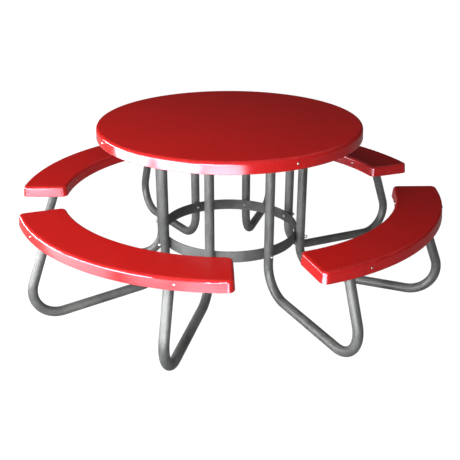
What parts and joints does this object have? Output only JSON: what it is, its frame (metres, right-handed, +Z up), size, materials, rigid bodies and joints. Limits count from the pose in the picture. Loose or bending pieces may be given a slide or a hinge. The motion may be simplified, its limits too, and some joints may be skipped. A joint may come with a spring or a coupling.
{
  "type": "picnic table with attached benches",
  "caption": "Round picnic table with curved benches fixed around it: moulded glossy pans on bent steel tubes that run from under the top, along the ground and up to each bench.",
  "frame": {"origin": "on the ground under the middle of the table top", "axes": "+Z up; a bench is centred on each of +X, +Y, -X and -Y"},
  "size_m": [1.8894, 1.8894, 0.7399],
  "materials": {
    "red_gelcoat_fibreglass": "glossy gel coat",
    "grey_galvanised_steel": "dull grey zinc coating",
    "zinc_plated_fastener": "bright zinc",
    "black_polyethylene": "matt moulded plastic"
  },
  "bodies": {
    "root": {"bench_seat_back": "red_gelcoat_fibreglass", "bench_seat_front": "red_gelcoat_fibreglass", "bench_seat_left": "red_gelcoat_fibreglass", "bench_seat_right": "red_gelcoat_fibreglass", "leg_tube_back_a": "grey_galvanised_steel", "leg_tube_back_b": "grey_galvanised_steel", "leg_tube_front_a": "grey_galvanised_steel", "leg_tube_front_b": "grey_galvanised_steel", "leg_tube_left_a": "grey_galvanised_steel", "leg_tube_left_b": "grey_galvanised_steel", "leg_tube_right_a": "grey_galvanised_steel", "leg_tube_right_b": "grey_galvanised_steel", "lower_ring": "grey_galvanised_steel", "lower_ring_bolts": "zinc_plated_fastener", "lower_ring_nuts": "zinc_plated_fastener", "post_caps": "black_polyethylene", "seat_bar_back_a": "grey_galvanised_steel", "seat_bar_back_b": "grey_galvanised_steel", "seat_bar_bolts": "zinc_plated_fastener", "seat_bar_front_a": "grey_galvanised_steel", "seat_bar_front_b": "grey_galvanised_steel", "seat_bar_left_a": "grey_galvanised_steel", "seat_bar_left_b": "grey_galvanised_steel", "seat_bar_nuts": "zinc_plated_fastener", "seat_bar_right_a": "grey_galvanised_steel", "seat_bar_right_b": "grey_galvanised_steel", "seat_rim_bolts": "zinc_plated_fastener", "seat_rim_nuts": "zinc_plated_fastener", "support_caps": "black_polyethylene", "table_top": "red_gelcoat_fibreglass", "top_bar_bolts": "zinc_plated_fastener", "top_bar_front": "grey_galvanised_steel", "top_bar_nuts": "zinc_plated_fastener", "top_bar_right": "grey_galvanised_steel", "top_rim_bolts": "zinc_plated_fastener", "top_rim_nuts": "zinc_plated_fastener", "upper_ring": "grey_galvanised_steel", "upper_ring_bolts": "zinc_plated_fastener", "upper_ring_nuts": "zinc_plated_fastener"}
  },
  "joints": []
}
